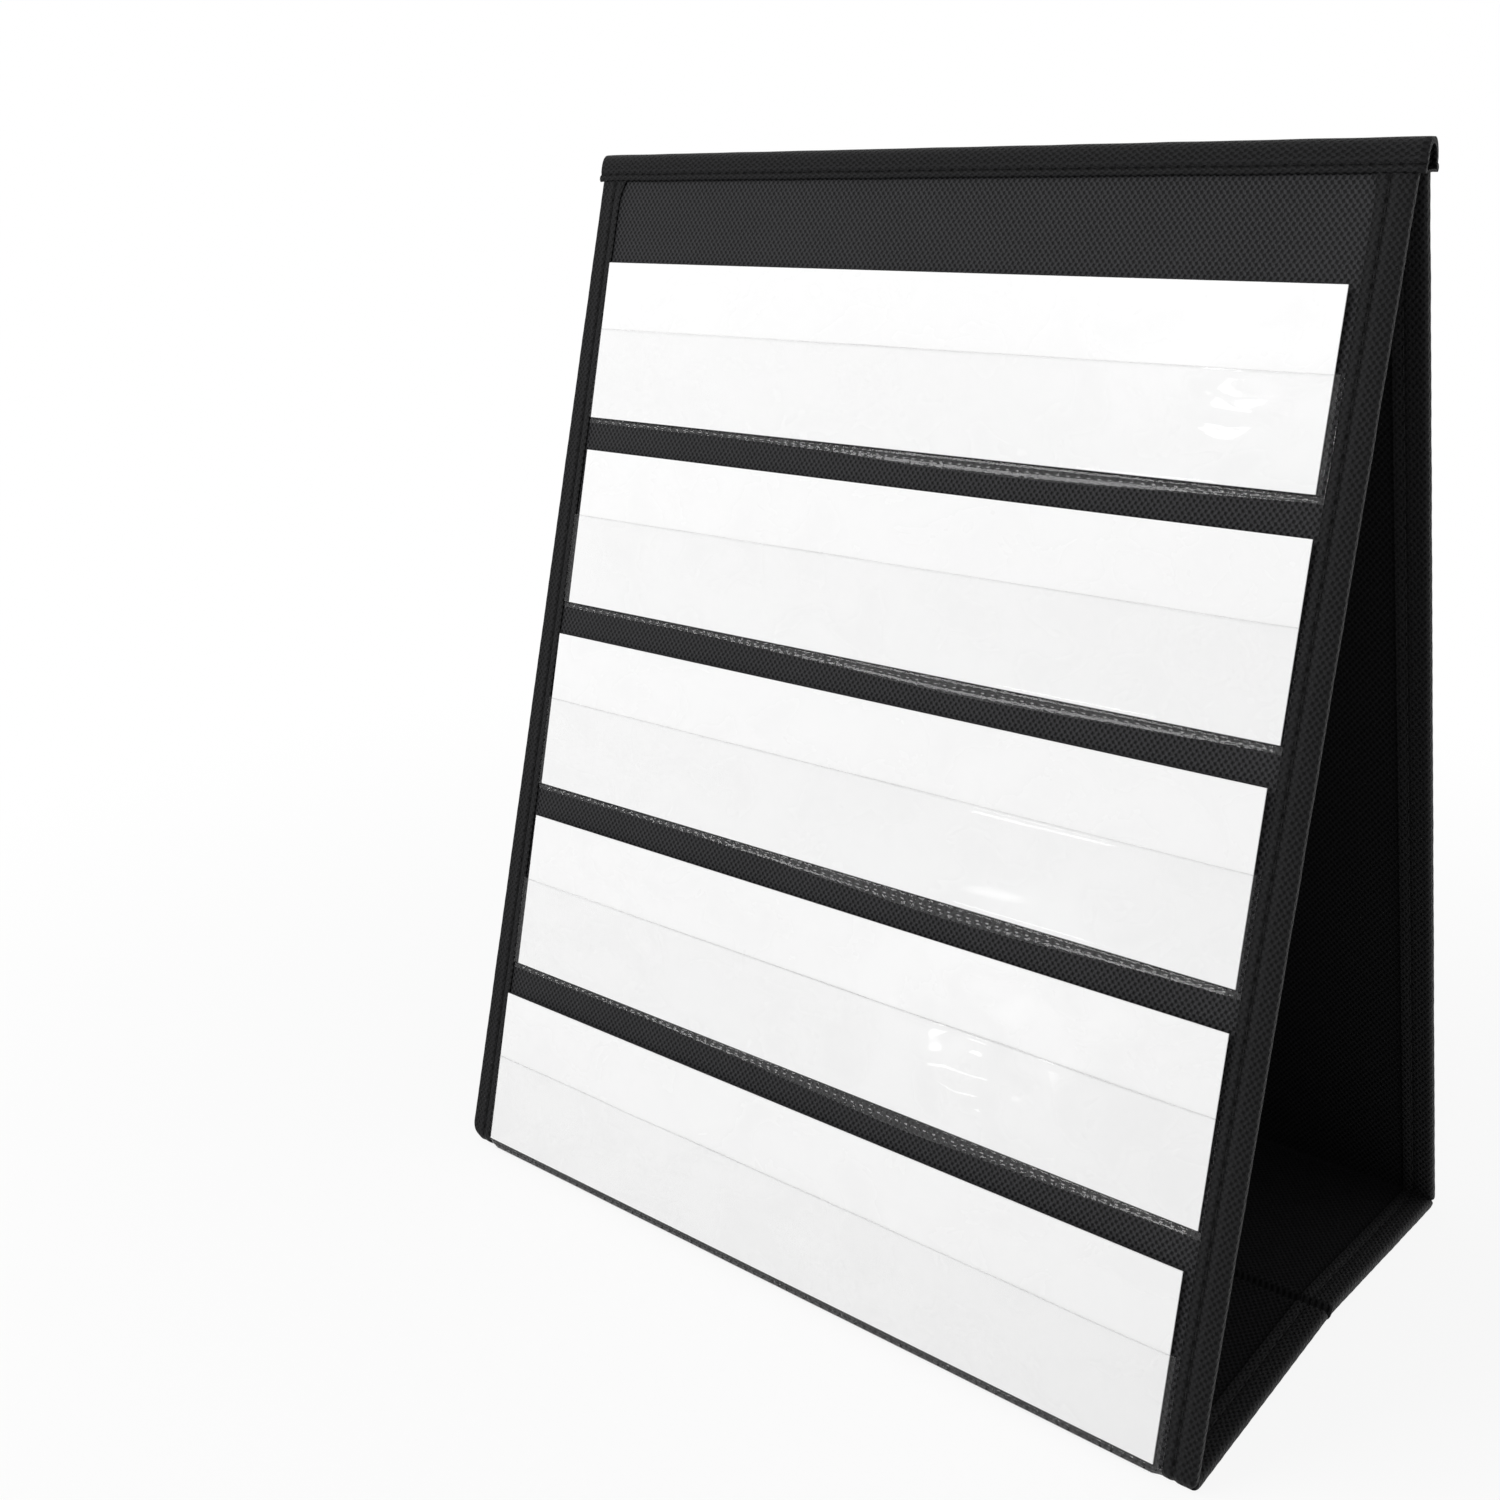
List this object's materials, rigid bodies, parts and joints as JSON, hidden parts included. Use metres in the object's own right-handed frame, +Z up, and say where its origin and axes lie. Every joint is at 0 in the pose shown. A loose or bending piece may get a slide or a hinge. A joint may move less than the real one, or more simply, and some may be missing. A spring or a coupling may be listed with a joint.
{
  "type": "tabletop pocket chart",
  "caption": "Tent-shaped folding stand of fabric-covered boards with rows of clear pockets on both faces that hold white writing cards.",
  "frame": {"origin": "on the table, in the middle of the base", "axes": "+Z up, X across the width, -Y out of the front face with the five filled pockets, +X to the right as seen from the front"},
  "size_m": [0.33, 0.2188, 0.4172],
  "materials": {
    "cover_fabric": "black embossed non-woven fabric, matt with a faint sheen",
    "lining_fabric": "black embossed non-woven fabric, matt",
    "binding_tape": "black non-woven tape with a row of stitches",
    "stiffening_board": "plain grey board, inside the covers",
    "clear_film": "clear soft film, glossy and slightly wavy",
    "white_card": "white writing card, smooth satin"
  },
  "bodies": {
    "front_panel": {"front_cover": "cover_fabric", "front_board": "stiffening_board", "front_lining": "lining_fabric", "front_binding_left": "binding_tape", "front_binding_right": "binding_tape", "front_ridge_binding": "binding_tape", "front_fold_strip": "cover_fabric", "front_pocket_1": "clear_film", "front_pocket_2": "clear_film", "front_pocket_3": "clear_film", "front_pocket_4": "clear_film", "front_pocket_5": "clear_film"},
    "base_front": {"base_front_cover": "cover_fabric", "base_front_board": "stiffening_board", "base_front_lining": "lining_fabric", "base_front_binding_left": "binding_tape", "base_front_binding_right": "binding_tape", "crease_seam": "binding_tape"},
    "base_back": {"base_back_cover": "cover_fabric", "base_back_board": "stiffening_board", "base_back_lining": "lining_fabric", "base_back_binding_left": "binding_tape", "base_back_binding_right": "binding_tape"},
    "back_panel": {"back_cover": "cover_fabric", "back_board": "stiffening_board", "back_lining": "lining_fabric", "back_binding_left": "binding_tape", "back_binding_right": "binding_tape", "back_ridge_binding": "binding_tape", "back_fold_strip": "cover_fabric", "back_pocket_1": "clear_film", "back_pocket_2": "clear_film", "back_pocket_3": "clear_film", "back_pocket_4": "clear_film", "back_pocket_5": "clear_film"},
    "front_card_1": {"front_card_1": "white_card"},
    "front_card_2": {"front_card_2": "white_card"},
    "front_card_3": {"front_card_3": "white_card"},
    "front_card_4": {"front_card_4": "white_card"},
    "front_card_5": {"front_card_5": "white_card"},
    "back_card_1": {"back_card_1": "white_card"},
    "back_card_2": {"back_card_2": "white_card"},
    "back_card_3": {"back_card_3": "white_card"},
    "back_card_4": {"back_card_4": "white_card"},
    "back_card_5": {"back_card_5": "white_card"}
  },
  "joints": [
    {"name": "front_fold", "type": "hinge", "parent": "front_panel", "child": "base_front", "pos_m": [0, -0.10377, 0.00475], "axis": [1, 0, 0], "range_deg": [0, 72.06]},
    {"name": "base_crease", "type": "hinge", "parent": "base_front", "child": "base_back", "pos_m": [0, 0, 0.0064], "axis": [-1, 0, 0], "range_deg": [0, 172.7]},
    {"name": "back_fold", "type": "hinge", "parent": "base_back", "child": "back_panel", "pos_m": [0, 0.10377, 0.00475], "axis": [1, 0, 0], "range_deg": [0, 72.1]},
    {"name": "front_card_1_slide", "type": "slide", "parent": "front_panel", "child": "front_card_1", "axis": [0, 0.2211, 0.9753], "range_m": [0, 0.035]},
    {"name": "front_card_2_slide", "type": "slide", "parent": "front_panel", "child": "front_card_2", "axis": [0, 0.2211, 0.9753], "range_m": [0, 0.035]},
    {"name": "front_card_3_slide", "type": "slide", "parent": "front_panel", "child": "front_card_3", "axis": [0, 0.2211, 0.9753], "range_m": [0, 0.035]},
    {"name": "front_card_4_slide", "type": "slide", "parent": "front_panel", "child": "front_card_4", "axis": [0, 0.2211, 0.9753], "range_m": [0, 0.035]},
    {"name": "front_card_5_slide", "type": "slide", "parent": "front_panel", "child": "front_card_5", "axis": [0, 0.2211, 0.9753], "range_m": [0, 0.035]},
    {"name": "back_card_1_slide", "type": "slide", "parent": "back_panel", "child": "back_card_1", "axis": [0, -0.2211, 0.9753], "range_m": [0, 0.035]},
    {"name": "back_card_2_slide", "type": "slide", "parent": "back_panel", "child": "back_card_2", "axis": [0, -0.2211, 0.9753], "range_m": [0, 0.035]},
    {"name": "back_card_3_slide", "type": "slide", "parent": "back_panel", "child": "back_card_3", "axis": [0, -0.2211, 0.9753], "range_m": [0, 0.035]},
    {"name": "back_card_4_slide", "type": "slide", "parent": "back_panel", "child": "back_card_4", "axis": [0, -0.2211, 0.9753], "range_m": [0, 0.035]},
    {"name": "back_card_5_slide", "type": "slide", "parent": "back_panel", "child": "back_card_5", "axis": [0, -0.2211, 0.9753], "range_m": [0, 0.035]}
  ],
  "couplings": [
    {"joint": "base_crease", "follows": "front_fold", "ratio": 2.3959},
    {"joint": "back_fold", "follows": "front_fold", "ratio": 1}
  ]
}
